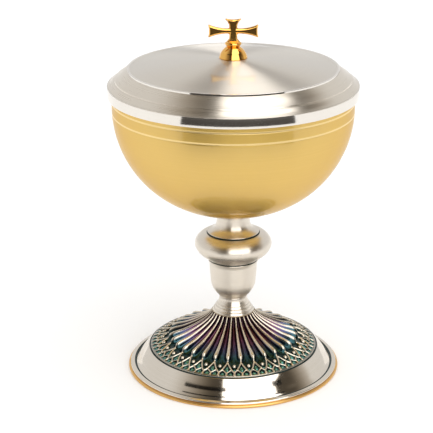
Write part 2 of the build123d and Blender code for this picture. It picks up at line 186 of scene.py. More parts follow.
def turned(name, line, sides=AROUND):
    """Surface of revolution: each point of the section goes round the axis. A section that
    starts and ends on the axis is closed there by a fan, any other is closed on itself.
    The section runs anticlockwise in the (r, z) plane, so faces point outwards."""
    line = np.asarray(line, float)
    on_axis = line[0, 0] < 1e-6
    rings = line[1:-1] if on_axis else line
    if not on_axis and np.allclose(rings[0], rings[-1]):
        rings = rings[:-1]
    angle = 2 * np.pi * np.arange(sides) / sides
    r, z = rings[:, :1], rings[:, 1:]
    verts = np.stack([r * np.cos(angle), r * np.sin(angle), z + 0 * angle], -1).reshape(-1, 3)
    run = np.concatenate([[0], np.cumsum(np.hypot(*np.diff(rings, axis=0).T))])
    uv = np.stack([np.tile(angle / (2 * np.pi), len(rings)), np.repeat(run * 0.01, sides)], -1)
    faces = grid_faces(len(rings), sides, not on_axis).tolist()
    if on_axis:
        first, last = len(verts), len(verts) + 1
        verts = np.vstack([verts, [0, 0, line[0, 1]], [0, 0, line[-1, 1]]])
        uv = np.vstack([uv, [0.5, 0], [0.5, 1]])
        base = (len(rings) - 1) * sides
        faces += [[first, (j + 1) % sides, j] for j in range(sides)]
        faces += [[last, base + j, base + (j + 1) % sides] for j in range(sides)]
    return mesh_object(name, verts, faces, uv)


def place(obj, body, node, material):
    """The piece rides on its body, stands for its node and takes its finish."""
    for m in material if isinstance(material, (list, tuple)) else [material]:
        obj.data.materials.append(m)
    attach(obj, body)
    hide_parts(node)
    return obj


# ---------------------------------------------------------------- materials
class Nodes:
    """Short calls for one material's nodes."""

    def __init__(self, name):
        self.material = bpy.data.materials.new(name)
        self.material.use_nodes = True
        self.tree = self.material.node_tree
        self.shader = self.tree.nodes["Principled BSDF"]
        self.coords = self.add("ShaderNodeTexCoord").outputs["Object"]

    def add(self, kind, **inputs):
        node = self.tree.nodes.new(kind)
        for key, value in inputs.items():
            self.put(node, key, value)
        return node

    def put(self, node, key, value):
        socket = node.inputs[int(key[1:]) if key[0] == "_" else key.replace("_", " ")]
        if isinstance(value, bpy.types.NodeSocket):
            self.tree.links.new(value, socket)
        else:
            socket.default_value = value

    def math(self, operation, a, b=0.0, c=0.0):
        node = self.add("ShaderNodeMath", _0=a, _1=b, _2=c)
        node.operation = operation
        return node.outputs[0]

    def noise(self, vector, scale, detail=2.0, rough=0.5):
        return self.add("ShaderNodeTexNoise", Vector=vector, Scale=scale, Detail=detail,
                        Roughness=rough).outputs["Fac"]

    def remap(self, value, a, b, c, d, smooth=False):
        node = self.add("ShaderNodeMapRange", Value=value, From_Min=a, From_Max=b, To_Min=c,
                        To_Max=d)
        if smooth:
            node.interpolation_type = "SMOOTHSTEP"
        return node.outputs["Result"]

    def mix(self, factor, a, b):
        node = self.add("ShaderNodeMix")
        node.data_type = "RGBA"
        for socket, value in ((node.inputs[0], factor), (node.inputs[6], a), (node.inputs[7], b)):
            if isinstance(value, bpy.types.NodeSocket):
                self.tree.links.new(value, socket)
            else:
                socket.default_value = value if isinstance(value, float) else (*value, 1)
        return node.outputs[2]

    def ramp(self, value, stops):
        node = self.add("ShaderNodeValToRGB", Fac=value)
        points = node.color_ramp.elements
        while len(points) < len(stops):
            points.new(0.5)
        for point, (where, colour) in zip(points, stops):
            point.position = where
            point.color = (*colour, 1)
        return node.outputs["Color"]

    def attribute(self, name):
        """Value that the mesh carries at each point."""
        node = self.add("ShaderNodeAttribute")
        node.attribute_name = name
        return node.outputs["Fac"]

    def rings(self, grain):
        """Noise that changes with radius and height but hardly round the axis, as the
        marks of a lathe do."""
        xyz = self.add("ShaderNodeSeparateXYZ", Vector=self.coords).outputs
        square = self.math("ADD", self.math("MULTIPLY", xyz[0], xyz[0]),
                           self.math("MULTIPLY", xyz[1], xyz[1]))
        radius = self.math("SQRT", square)
        lean = self.math("MULTIPLY", xyz[0], 0.004)
        both = self.add("ShaderNodeCombineXYZ", X=radius, Y=xyz[2], Z=lean).outputs[0]
        return self.noise(both, grain, 3.0, 0.6)


def metal(name, colour, dark, rough, spread=0.0, marks=0.05, lacquer=0.0, lacquer_ior=1.5,
          tint=(1, 1, 1)):
    """Turned metal. Fine rings and faint clouds change the roughness and colour a little;
    spread smears reflections across the rings; lacquer is a clear coat over it; tint
    colours reflections at a glancing angle."""
    n = Nodes(name)
    rings = n.rings(LATHE_GRAIN)
    clouds = n.noise(n.coords, 38.0, 4.0, 0.55)
    both = n.math("ADD", n.math("MULTIPLY", rings, 0.5), n.math("MULTIPLY", clouds, 0.5))
    n.put(n.shader, "Base_Color", n.mix(n.remap(both, 0.3, 0.7, 0.0, 1.0), dark, colour))
    n.put(n.shader, "Roughness", n.remap(both, 0.3, 0.7, rough - marks, rough + marks))
    n.put(n.shader, "Metallic", 1.0)
    n.put(n.shader, "Specular_Tint", (*tint, 1))
    if lacquer:
        n.put(n.shader, "Coat_Weight", lacquer)
        n.put(n.shader, "Coat_Roughness", 0.04)
        n.put(n.shader, "Coat_IOR", lacquer_ior)
    if spread:
        n.put(n.shader, "Anisotropic", spread)
        n.put(n.shader, "Anisotropic_Rotation", 0.25)
        tangent = n.add("ShaderNodeTangent")
        tangent.direction_type = "UV_MAP"
        tangent.uv_map = "around"
        n.put(n.shader, "Tangent", tangent.outputs[0])
    height = n.add("ShaderNodeBump", Strength=0.012, Distance=0.0002, Height=rings)
    n.put(n.shader, "Normal", height.outputs[0])
    return n.material


def dark_line():
    """Blackened green fill of the seams and grooves."""
    n = Nodes("dark_line")
    cloud = n.noise(n.coords, 400.0, 3.0)
    n.put(n.shader, "Base_Color", n.mix(cloud, (0.012, 0.022, 0.022), (0.03, 0.055, 0.05)))
    n.put(n.shader, "Roughness", n.remap(cloud, 0.3, 0.7, 0.25, 0.5))
    return n.material


def relief_metal():
    """Antiqued silver on the ribs, beads and wires; between them a glossy oxide whose
    colour runs from wine red at the top, over violet and blue, to sea green at the rim.
    Light teal is laid over the oxide in the lattice's cells, partly their enamel's own colour
    and partly a painted highlight, and on a crescent below each bead as a painted reflection."""
    n = Nodes("antiqued_relief")
    raised, along, pale_and_glint = (n.attribute(name) for name in ("raised", "along", "pale_and_glint"))
    clouds = n.noise(n.coords, 160.0, 4.0, 0.6)
    fine = n.noise(n.coords, 900.0, 3.0, 0.6)
    silver = n.mix(n.remap(fine, 0.3, 0.7, 0.0, 1.0), (0.66, 0.57, 0.45), (0.80, 0.72, 0.59))
    where = n.math("ADD", along, n.math("MULTIPLY", n.math("SUBTRACT", clouds, 0.5), 0.16))
    oxide = n.ramp(where, (
        (0.0, (0.016, 0.006, 0.008)),
        (0.18, (0.060, 0.018, 0.032)),
        (0.38, (0.115, 0.042, 0.095)),
        (0.54, (0.055, 0.065, 0.140)),
        (0.66, (0.026, 0.085, 0.105)),
        (0.76, (0.006, 0.026, 0.018)),
        (1.0, (0.008, 0.036, 0.028)),
    ))
    # mix in light teal: the cells' own lighter enamel with a painted highlight on the pillows,
    # and a painted reflection on the crescent below each bead
    oxide = n.mix(pale_and_glint, oxide, (0.13, 0.36, 0.30))
    top = n.remap(raised, 0.56, 0.80, 0.0, 1.0, smooth=True)
    n.put(n.shader, "Base_Color", n.mix(top, oxide, silver))
    n.put(n.shader, "Roughness", n.remap(top, 0.0, 1.0, 0.14, 0.27))
    n.put(n.shader, "Metallic", 1.0)
    n.put(n.shader, "Coat_Weight", n.remap(top, 0.0, 1.0, 0.25, 0.0))
    n.put(n.shader, "Coat_Roughness", 0.12)
    n.put(n.shader, "Coat_Tint", (0.82, 0.80, 0.95, 1))
    height = n.add("ShaderNodeBump", Strength=0.03, Distance=0.0002, Height=fine)
    n.put(n.shader, "Normal", height.outputs[0])
    return n.material


SILVER = (0.80, 0.735, 0.64)
SILVER_LOW = (0.73, 0.66, 0.565)
silver_satin = metal("silver_satin", SILVER, SILVER_LOW, 0.30, 0.8)
silver_foot = metal("silver_foot", SILVER, SILVER_LOW, 0.09, marks=0.015)
silver_lid = metal("silver_lid", SILVER, SILVER_LOW, 0.44, 0.95, lacquer=0.8)
silver_bright = metal("silver_bright", (0.84, 0.80, 0.74), (0.79, 0.74, 0.67), 0.09, marks=0.02)
gold_satin = metal("gold_satin", (0.78, 0.53, 0.145), (0.72, 0.475, 0.12), 0.40, 0.4,
                   lacquer=0.5, lacquer_ior=1.8, tint=(0.78, 0.60, 0.32))
gold_rim = metal("gold_rim", (0.84, 0.52, 0.18), (0.72, 0.42, 0.13), 0.32)
gold_line = metal("gold_line", (0.90, 0.69, 0.32), (0.85, 0.63, 0.27), 0.34)
gold_bright = metal("gold_bright", (0.95, 0.55, 0.15), (0.88, 0.47, 0.11), 0.09, marks=0.02)
inner_brass = metal("inner_brass", (0.72, 0.55, 0.30), (0.62, 0.46, 0.24), 0.35)
inner_steel = metal("inner_steel", (0.62, 0.62, 0.62), (0.50, 0.50, 0.50), 0.35)
dark_fill = dark_line()
relief_finish = relief_metal()


def paint_rings(obj, line, choose):
    """Gives each ring of faces between two section points the material whose number
    choose(r, z) returns for the ring's middle."""
    mid = (line + np.roll(line, -1, axis=0)) / 2
    kind = np.array([choose(r, z) for r, z in mid], dtype=np.int32)
    index = np.zeros(len(obj.data.polygons), dtype=np.int32)
    rows = min(len(kind), len(index) // AROUND)
    index[:rows * AROUND] = np.repeat(kind[:rows], AROUND)
    obj.data.polygons.foreach_set("material_index", index)


# ---------------------------------------------------------------- foot
def foot_rim():
    """Wire with a round outside, on which the vessel stands."""
    h = RIM_TOP
    line = section((WIRE_IN, 0), (FOOT_R - h / 2, 0), ((FOOT_R, h / 2), (FOOT_R - h / 2, h)),
                   (WIRE_IN, h), (WIRE_IN, 0), pitch=0.2)
    place(turned("foot_rim", line), "base", "foot_rim_wire", gold_rim)


def foot_flange():
    """Lip, dark groove and nearly even slope up to a second groove, with the relief's
    seat inside it. Both grooves are filled dark."""
    z = RIM_TOP
    line = section(
        (WIRE_IN, z),
        (57.2, z),
        ((57.6, z + 0.5), (56.9, z + 1.15)),
        [(56.2, z + 1.4), (55.7, z + 1.5), (55.3, z + 1.42)],
        (55.1, z + 0.9),
        (54.5, z + 0.9),
        (54.4, z + 1.2),
        [(53.2, z + 2.62), (52.0, z + 4.38), (50.6, z + 6.28), (49.2, z + 8.02),
         (48.0, z + 9.40), (47.25, z + 10.2)],
        (46.98, SEAT - 0.35),
        (46.85, SEAT - 0.85),
        (46.15, SEAT - 0.85),
        (46.1, SEAT),
        (RELIEF_SEAT, SEAT),
        (RELIEF_SEAT, SEAT - 1.2),
        [(45.9, SEAT - 1.6), (47.2, z + 8.4), (48.9, z + 6.4), (50.6, z + 4.1), (52.4, z + 1.6),
         (54.2, z + 0.3)],
        (WIRE_IN, z),
        pitch=0.35,
    )
    obj = place(turned("flange", line), "base", "foot_flange",
                [silver_foot, dark_fill])

    def in_groove(r, q):
        low_groove = 54.38 < r < 55.25 and z + 0.7 < q < z + 1.45
        return low_groove or 46.05 < r < 46.98 and SEAT - 0.95 < q < SEAT - 0.2

    paint_rings(obj, line, in_groove)


def crest():
    """Section of the relief's crest: a cubic Bezier trumpet from the land to the border."""
    t = np.linspace(0, 1, CREST_STEPS)[:, None]
    bottom = SEAT + 1.1
    rise, width = CASTING_TOP - bottom, CREST_R - LAND_R
    p = [np.array(q) for q in (
        (LAND_R, CASTING_TOP),
        (LAND_R + 0.11 * width, bottom + 0.62 * rise),
        (LAND_R + 0.67 * width, bottom + 0.37 * rise),
        (CREST_R, bottom),
    )]
    return (1 - t)**3 * p[0] + 3 * (1 - t)**2 * t * p[1] + 3 * (1 - t) * t**2 * p[2] + t**3 * p[3]


def bump(distance, half):
    """Round-topped bar: one on its middle line, nought from half its width outwards."""
    return np.sqrt(np.clip(1 - (distance / half)**2, 0, 1))


def to_line(x, y, ax, ay, bx, by):
    """Distance of points (x, y) from the straight line between two ends."""
    dx, dy = bx - ax, by - ay
    t = np.clip(((x - ax) * dx + (y - ay) * dy) / (dx * dx + dy * dy), 0, 1)
    return np.hypot(x - ax - t * dx, y - ay - t * dy)


def floor_depth(r):
    """Depth of the ground below the crest, in mm."""
    return np.interp(r, (12.0, 15.0, 22.0, 31.0, 35.5, 38.5, 43.0, 45.0),
                     (1.3, 1.9, 2.3, 2.4, 2.1, 1.7, 1.35, 0.95))


def relief(r, share):
    """Height in mm above the ground, whether it is raised metal, and how much light teal
    it takes, for a radius and a place within one repeat: 0 on a rib, a half on a bead. The
    light teal is partly the cells' own lighter enamel and partly a painted highlight on the
    cell pillows; on the crescent below each bead it is a painted reflection."""
    pitch = 2 * np.pi * r / RIBS                         # a repeat's true width
    span = 2 * np.pi * LATTICE_R / RIBS                  # and its width in the lattice
    middle = span / 2
    x = np.abs(share) * pitch                            # sideways from the rib
    xl = np.abs(share) * span
    # ribs: round, tall, widening to a blunt end
    grow = np.clip((r - LAND_R) / (RIB_BLUNT - LAND_R), 0, 1)
    end = np.clip((r - RIB_BLUNT) / (RIB_TIP - RIB_BLUNT), 0, 1)
    half = np.where(r > RIB_BLUNT, 0.25 + 1.45 * np.sqrt(np.clip(1 - end**2, 0, 1)),
                    0.54 + 1.12 * grow**0.95)
    swell = 0.9 * np.exp(-((r - 33.8) / 4.2)**2)
    fade = np.clip((RIB_TIP + 1.0 - r) / 2.6, 0.5, 1)
    rib = np.where(r < RIB_TIP + 0.5, bump(x, half) * fade, 0)
    # channels: dished floors
    gap = np.maximum(pitch / 2 - half, 0.3)
    dish = 0.55 * np.clip((pitch / 2 - x) / gap, 0, 1)**2 * (r < 37.5)
    # wires of the lattice: the arch from rib to bead, then the straight ones
    knots = [(0.0, 36.8), (0.50, 38.0), (1.70, 40.5), (3.05, 42.6), (middle, 43.5)]
    wires = [(a, b, 0.55, 1.0) for a, b in zip(knots[:-1], knots[1:])]
    wires += [((middle, 43.3), (middle, 45.3), 0.68, 0.95),
              ((2.45, 41.8), (0.0, 44.0), 0.48, 0.85),
              ((0.0, 43.8), (0.0, 45.3), 0.62, 0.85)]
    wire = np.zeros_like(r)
    for (x0, r0), (x1, r1), width, tall in wires:
        wire = np.maximum(wire, bump(to_line(xl, r, x0, r0, x1, r1), width) * tall)
    # beads, each in a dish with a low inner rim below it
    to_bead = np.hypot(middle - xl, r - BEAD_R)
    bead = bump(to_bead, 1.22)
    rim = bump(np.abs(to_bead - 2.05), 0.32) * np.clip((r - 39.2) / 1.2, 0, 1)
    edge = bump(np.abs(r - 45.4), 0.80)
    height = np.maximum.reduce([
        rib * (floor_depth(r) + swell), dish, wire * 1.05, bead * 1.75, edge * 0.40,
        rim * 0.40])
    metal_part = np.maximum.reduce([rib * 0.88, wire * 1.1, bead * 1.15, edge * 0.66])
    # enamel pillows in the cells under each rib and along the border
    in_diamond = np.clip(1 - np.hypot(xl / 1.05, (r - 41.3) / 1.9), 0, 1)
    in_foot = np.clip(1 - np.hypot((xl - middle / 2) / 1.15, (r - 44.4) / 1.0), 0, 1)
    pillow = np.maximum(in_diamond, in_foot)
    height = np.maximum(height, 0.60 * np.sqrt(pillow))
    # light teal share: on the cell pillows partly the enamel's own lighter colour and partly a
    # painted highlight; on the crescent below each bead a painted reflection
    pale_and_glint = np.maximum(np.clip(pillow * 2.0, 0, 1), 0.6 * rim * (metal_part < 0.3))
    return height, metal_part, pale_and_glint


def fluted_dome():
    """Relief carried round the foot. Each point leaves the crest's section along its
    normal by the relief's height less the depth of the ground; the inside is plain."""
    base = crest()
    run = np.concatenate([[0], np.cumsum(np.hypot(*np.diff(base, axis=0).T))])
    at_lattice = np.interp(LATTICE_IN, base[:, 0], run)
    places = np.concatenate([
        np.linspace(0, at_lattice, 34, endpoint=False),
        np.linspace(at_lattice, run[-1], 38),
    ])
    r = np.interp(places, run, base[:, 0])
    z = np.interp(places, run, base[:, 1])
    dr, dz = np.gradient(r, places), np.gradient(z, places)
    normal = np.stack([-dz, dr], -1)
    normal /= np.linalg.norm(normal, axis=1)[:, None]
    sides = RIBS * SIDES_PER_RIB
    angle = 2 * np.pi * np.arange(sides) / sides
    share = (np.arange(sides) / SIDES_PER_RIB - RELIEF_TURN * RIBS / 360) % 1.0
    share = np.where(share > 0.5, share - 1.0, share)
    rr, ss = np.meshgrid(r, share, indexing="ij")
    height, raised, pale_and_glint = relief(rr, ss)
    off = height - floor_depth(r)[:, None]
    r_out = rr + normal[:, :1] * off
    z_out = z[:, None] + normal[:, 1:] * off
    # plain rings: border and underside, then the land at the top
    rim = np.array([(45.75, SEAT + 0.65), (46.05, SEAT + 0.35), (46.05, SEAT),
                    (RELIEF_SEAT, SEAT)])
    inner = np.stack([np.interp(np.linspace(1, 0, 9)[1:], np.linspace(0, 1, CREST_STEPS),
                                base[:, k]) for k in (0, 1)], -1)
    under = CASTING_TOP - 3.8
    inside = np.array([(max(a - 2.4, LAND_R), max(min(b - 2.9, under), SEAT))
                       for a, b in inner])
    core = np.array([(LAND_R, under), (ROD_HOLE, under), (ROD_HOLE, CASTING_TOP),
                     (LAND_R - 0.4, CASTING_TOP)])
    plain = np.concatenate([rim, inside, core])
    flat_r = np.repeat(plain[:, :1], sides, axis=1)
    flat_z = np.repeat(plain[:, 1:], sides, axis=1)
    all_r = np.concatenate([r_out, flat_r])[::-1]
    all_z = np.concatenate([z_out, flat_z])[::-1]
    verts = np.stack([all_r * np.cos(angle), all_r * np.sin(angle), all_z], -1).reshape(-1, 3)
    obj = mesh_object("fluted_dome", verts, grid_faces(len(all_r), sides, True).tolist(),
                      crease=60)
    # the border's wall gets 0.68, half oxide colour and half silver, darker than the plain
    # inside, which is all silver
    plain_metal_share = np.repeat([0.68, 1.0], [len(rim), len(inside) + len(core)])
    whole = {
        "raised": np.concatenate([raised, np.repeat(plain_metal_share[:, None], sides, 1)])[::-1],
        # light teal share: part enamel colour, part painted highlight and painted reflection
        "pale_and_glint": np.concatenate([pale_and_glint, np.zeros((len(plain), sides))])[::-1],
        "along": np.concatenate([np.repeat((places / run[-1])[:, None], sides, 1),
                                 np.ones((len(plain), sides))])[::-1],
    }
    for key, values in whole.items():
        layer = obj.data.attributes.new(key, "FLOAT", "POINT")
        layer.data.foreach_set("value", values.astype(np.float32).ravel())
    place(obj, "base", "foot_casting", relief_finish)


# ---------------------------------------------------------------- stem
def stem():
    """Turned collar, urn, knop and neck, each standing on the one below."""
    z = CASTING_TOP
    collar = section(
        (ROD_HOLE, z), (11.1, z), ((11.35, z + 0.3), (11.3, z + 0.8)), (11.0, z + 1.5),
        (10.35, z + 1.75), [(10.2, z + 2.2), (10.05, z + 2.8), (9.95, z + 3.1)],
        (9.4, z + 3.35), [(9.25, z + 3.8), (9.1, z + 4.3), (9.0, z + 4.6)],
        (8.6, z + 4.8),
        [(8.2, z + 5.8), (7.85, z + 6.8), (7.65, z + 7.7), (7.62, URN_LOW)],
        (ROD_HOLE, URN_LOW), (ROD_HOLE, z), pitch=0.3)
    place(turned("collar", collar), "base", "lower_collar", silver_satin)
    u = URN_LOW
    urn = section(
        (ROD_HOLE, u), (7.3, u), ((7.75, u + 0.2), (7.8, u + 0.55)), (7.7, u + 0.8),
        [(8.3, u + 1.5), (9.5, u + 2.9), (10.8, u + 4.7), (11.7, u + 6.6), (12.25, u + 8.6),
         (12.55, u + 11.4), (12.8, u + 14.2), (13.0, u + 17.2), (13.15, u + 19.6)],
        [(13.3, u + 20.3), (13.55, u + 21.0), (13.8, u + 21.6)],
        ((13.85, u + 22.0), (13.7, KNOP_LOW - 0.75)),
        (13.1, KNOP_LOW - 0.65), (13.1, KNOP_LOW), (ROD_HOLE, KNOP_LOW),
        (ROD_HOLE, u), pitch=0.4)
    obj = place(turned("urn", urn), "base", "stem_urn", [silver_satin, dark_fill])
    paint_rings(obj, urn, lambda r, q: ROD_HOLE < r < 13.75 and q > KNOP_LOW - 0.78)
    k = KNOP_LOW
    knop = section(
        (ROD_HOLE, k), (13.5, k), (13.95, k + 0.05), ((14.2, k + 0.15), (14.4, k + 0.4)),
        [(15.9, k + 1.45), (17.9, k + 2.9), (19.8, k + 5.0), (20.95, k + 7.3), (21.1, k + 8.7),
         (20.6, k + 10.6), (19.3, k + 12.4), (17.4, k + 13.9), (15.6, k + 14.6)],
        (14.6, NECK_LOW - 0.25), (13.4, NECK_LOW - 0.3), (13.4, NECK_LOW),
        (ROD_HOLE, NECK_LOW), (ROD_HOLE, NECK_LOW - 2), (12.4, NECK_LOW - 2),
        ((19.2, k + 7.6), (11.6, k + 2)), (ROD_HOLE, k + 2), (ROD_HOLE, k), pitch=0.4)
    obj = place(turned("knop_bulb", knop), "base", "knop",
                [silver_satin, dark_fill])
    paint_rings(obj, knop, lambda r, q: 13.3 < r < 14.6 and q > NECK_LOW - 0.35)
    n = NECK_LOW
    top = BOWL_LOW
    neck = section(
        (ROD_HOLE, n), (13.4, n), (13.4, n + 0.25), (13.9, n + 0.3),
        ((14.2, n + 0.5), (14.0, n + 0.8)),
        [(12.6, n + 1.3), (11.2, n + 2.1), (10.0, n + 3.4), (9.3, n + 5.2), (9.05, n + 7.4),
         (9.1, n + 9.2), (9.4, n + 10.3)],
        ((9.75, n + 10.7), (9.7, n + 11.2)), (9.3, top), (6.3, top), (6.3, top - 6.8),
        (ROD_HOLE, top - 6.8), (ROD_HOLE, n), pitch=0.4)
    obj = place(turned("neck", neck), "base", "neck_collar",
                [silver_satin, dark_fill])
    paint_rings(obj, neck, lambda r, q: 13.3 < r < 13.95 and q < n + 0.35)


# ---------------------------------------------------------------- bowl
def arc_pair(side_r, radius, pole):
    """Two tangent arcs, from a pole on the axis up to an upright side of radius side_r.
    The upper one has the given radius, and the lower one's follows."""
    side_z = BOWL_POLE + 59.9                # where the side stands upright
    cr = side_r - radius
    drop = side_z - pole
    big = (cr**2 + drop**2 - radius**2) / (2 * (drop - radius))
    share = big / (big - radius)
    cz = pole + big
    meet = (cr * share, cz + (side_z - cz) * share)
    t_meet = math.asin(meet[0] / big)
    t = np.linspace(0, t_meet, 40)
    lower = np.column_stack([big * np.sin(t), cz - big * np.cos(t)])
    s = np.linspace(math.atan2(side_z - meet[1], meet[0] - cr), 0, 70)[1:]
    upper = np.column_stack([cr + radius * np.cos(s), side_z - radius * np.sin(s)])
    return np.concatenate([lower, upper])


def bowl():
    """Cup between an outer and an inner pair of arcs, with a rolled lip and two bright
    engraved lines."""
    inner_r = BOWL_R - BOWL_SHEET
    outer = arc_pair(BOWL_R, BOWL_BEND, BOWL_POLE)
    inner = arc_pair(inner_r, BOWL_BEND - BOWL_SHEET, BOWL_POLE + BOWL_SHEET)[::-1]
    keep = outer[:, 0] > BOWL_SEAT
    outer = np.concatenate([[(0, BOWL_LOW), (BOWL_SEAT, BOWL_LOW)], outer[keep]])
    high_part = np.array([(BOWL_R, z) for z in np.arange(outer[-1, 1] + 0.5, LIP - 0.9, 0.5)])
    side = np.concatenate([outer, high_part])
    lines = [LIP - drop for drop in LINE_DROPS]
    edges = np.array([(np.interp(z + d, side[:, 1], side[:, 0]), z + d)
                      for z in lines for d in (-0.5, -0.38, 0.38, 0.5)])
    side = np.concatenate([side, edges])
    side = side[np.lexsort((side[:, 0], side[:, 1]))]
    for z in lines:
        cut = np.abs(side[:, 1] - z) < 0.43
        side[cut, 0] -= 0.05
    roll = LIP - BOWL_SHEET / 2
    lip = arc((BOWL_R, roll), (BOWL_R - BOWL_SHEET / 2, LIP), (inner_r, roll), 0.15)
    line = np.concatenate([side, [(BOWL_R, roll)], lip, inner])
    obj = place(turned("cup", line), "base", "bowl_shell", [gold_satin, gold_line])
    paint_rings(obj, line[1:-1],
                lambda r, z: r > 62.4 and any(abs(z - q) < 0.5 for q in lines))


# ---------------------------------------------------------------- lid
def lid():
    """Band, shoulder, step, slope, ridge and shallow dome, one sheet thick, and the ring
    inside that sits in the bowl's lip."""
    b = BAND_LOW
    t = LID_TOP
    outside = section(
        (LID_BORE, b), (66.4, b), ((66.75, b + 0.12), (66.8, b + 0.45)), (66.8, b + 5.25),
        ((66.7, b + 5.7), (66.25, b + 5.93)),
        [(65.0, b + 6.7), (64.0, b + 7.6), (63.1, b + 8.3)],
        (62.75, b + 8.45), (62.55, b + 9.15),
        [(60.8, b + 10.3), (58.9, b + 11.8), (57.3, b + 12.95), (56.2, b + 13.65)],
        (56.0, b + 13.7), (56.0, b + 14.55), ((55.94, b + 14.66), (55.75, b + 14.7)),
        (54.9, b + 14.6),
        [(50, b + 15.1), (44, b + 15.95), (36, b + 16.95), (26, b + 18.0), (16, b + 18.9),
         (8.2, t)],
        (SCREW_HOLE, t), pitch=0.5)
    inside = section(
        (SCREW_HOLE, t - LID_SHEET), (8.0, t - LID_SHEET),
        [(16, b + 17.7), (26, b + 16.8), (36, b + 15.75), (44, b + 14.75), (54, b + 13.3)],
        [(57.5, b + 11.4), (61.5, b + 8.0), (LID_BORE, b + 4.9)],
        (LID_BORE, b), pitch=1.2)
    line = np.concatenate([outside, inside])
    obj = place(turned("cover", line), "lid", "lid_shell",
                [silver_lid, silver_bright, silver_satin])

    def finish(r, z):
        band = z < b + 5.3 and r > 65.7
        ridge = 55.3 < r < 56.15 and z > b + 13.68
        shoulder = 56.1 < r < 66.3 and z > b + 5.9 and z > b + 60.1 - 0.833 * r
        return 1 if band or ridge else 2 if shoulder else 0

    paint_rings(obj, line, finish)
    s = LIP + 0.1
    ring = section((LID_BORE, s), (LID_BORE, s + 1), (61.1, s + 1), (61.1, s - 6), (61.7, s - 6),
                   (62.1, s - 5.4), (62.1, s), (LID_BORE, s), pitch=0.5)
    place(turned("seat_ring", ring), "lid", "lid_seat_ring", silver_satin)


def finial():
    """Bell, collar and flat cross with four flared arms."""
    t, f = LID_TOP, FINIAL_TOP
    boss = section(
        (SCREW_HOLE, t), (7.2, t), ((7.5, t + 0.3), (7.35, t + 0.75)),
        [(7.0, t + 1.9), (6.3, t + 3.3), (5.3, t + 4.6), (4.2, t + 5.6), (3.7, f)],
        (SCREW_HOLE, f), (SCREW_HOLE, t), pitch=0.25)
    place(turned("bell", boss, 160), "lid", "finial_boss", gold_bright)
    collar = section(
        (0, f), (3.3, f), [(3.6, f + 0.5), (4.05, f + 1.1), (4.3, f + 1.5)],
        ((4.4, f + 1.85), (4.1, f + 2.3)), (3.2, f + 2.8), (0, f + 2.9), pitch=0.2)
    ring = turned("cross_collar", collar, 128)
    centre = f + 8.4                         # height of the arms' crossing
    half = 13.25                             # half the cross's width
    top = high("finial_cross") - centre
    deep = 1.3                               # half the cross's thickness

    def span(a, mid, b):
        return arc(a, mid, b, 1.9)

    outline = np.concatenate([
        np.array([(-4.65, top)]),
        span((-4.65, top), (0, top - 0.55), (4.65, top)),
        span((4.65, top), (2.35, top * 0.56), (2.0, 1.35)),
        span((2.0, 1.35), (7.6, 1.75), (half, 3.6)),
        span((half, 3.6), (half - 0.6, 0), (half, -3.6)),
        span((half, -3.6), (7.6, -1.75), (2.0, -1.35)),
        span((2.0, -1.35), (2.05, -3.7), (3.9, -6.1)),
        np.array([(-3.9, -6.1)]),
        span((-3.9, -6.1), (-2.05, -3.7), (-2.0, -1.35)),
        span((-2.0, -1.35), (-7.6, -1.75), (-half, -3.6)),
        span((-half, -3.6), (-half + 0.6, 0), (-half, 3.6)),
        span((-half, 3.6), (-7.6, 1.75), (-2.0, 1.35)),
        span((-2.0, 1.35), (-2.35, top * 0.56), (-4.65, top))[:-1],
    ])
    n = len(outline)
    front = np.column_stack([outline[:, 0], np.full(n, -deep), outline[:, 1] + centre])
    back = front * (1, -1, 1)
    j = np.arange(n)
    edge = np.stack([j, j + n, (j + 1) % n + n, (j + 1) % n], -1).tolist()
    faces = [list(range(n - 1, -1, -1)), list(range(n, 2 * n))] + edge
    cross = mesh_object("cross_arms", np.vstack([front, back]), faces, crease=35)
    bm = bmesh.new()
    bm.from_mesh(cross.data)
    bmesh.ops.recalc_face_normals(bm, faces=bm.faces)
    bm.to_mesh(cross.data)
    bm.free()
    bevel = cross.modifiers.new("edge", "BEVEL")
    bevel.width = 0.9 * MM
    bevel.segments = 4
    bevel.use_clamp_overlap = False
    bevel.limit_method = "ANGLE"
    bevel.angle_limit = math.radians(60)
    bevel.harden_normals = True
    for obj in (ring, cross):
        place(obj, "lid", "finial_cross", gold_bright)


foot_rim()
foot_flange()
fluted_dome()
stem()
bowl()
lid()
finial()

INNER = {
    "clamp_plate": inner_brass,
    "lock_washer": inner_steel,
    "tie_nut": inner_steel,
    "tie_rod": inner_steel,
    "bowl_boss": inner_brass,
    "finial_washer": inner_steel,
    "finial_screw": inner_steel,
}
for node, finish in INNER.items():
    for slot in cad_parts[node].material_slots:
        slot.material = finish


# ---------------------------------------------------------------- stage
def stage_sheet(name, verts, faces, finish, colour, rough):
    """Flat sheet of the stage, in metres."""
    mesh = bpy.data.meshes.new(name)
    mesh.from_pydata(verts, [], faces)
    obj = bpy.data.objects.new(name, mesh)
    bpy.context.scene.collection.objects.link(obj)
    n = Nodes(finish)
    n.put(n.shader, "Base_Color", (*colour, 1))
    n.put(n.shader, "Roughness", rough)
    mesh.materials.append(n.material)
    return obj


def floor():
    """Pale ground under the vessel."""
    far = 6.0
    corners = [(-far, -far, 0), (far, -far, 0), (far, far, 0), (-far, far, 0)]
    obj = stage_sheet("floor", corners, [(0, 1, 2, 3)], "pale_floor", (0.95, 0.95, 0.95), 0.9)


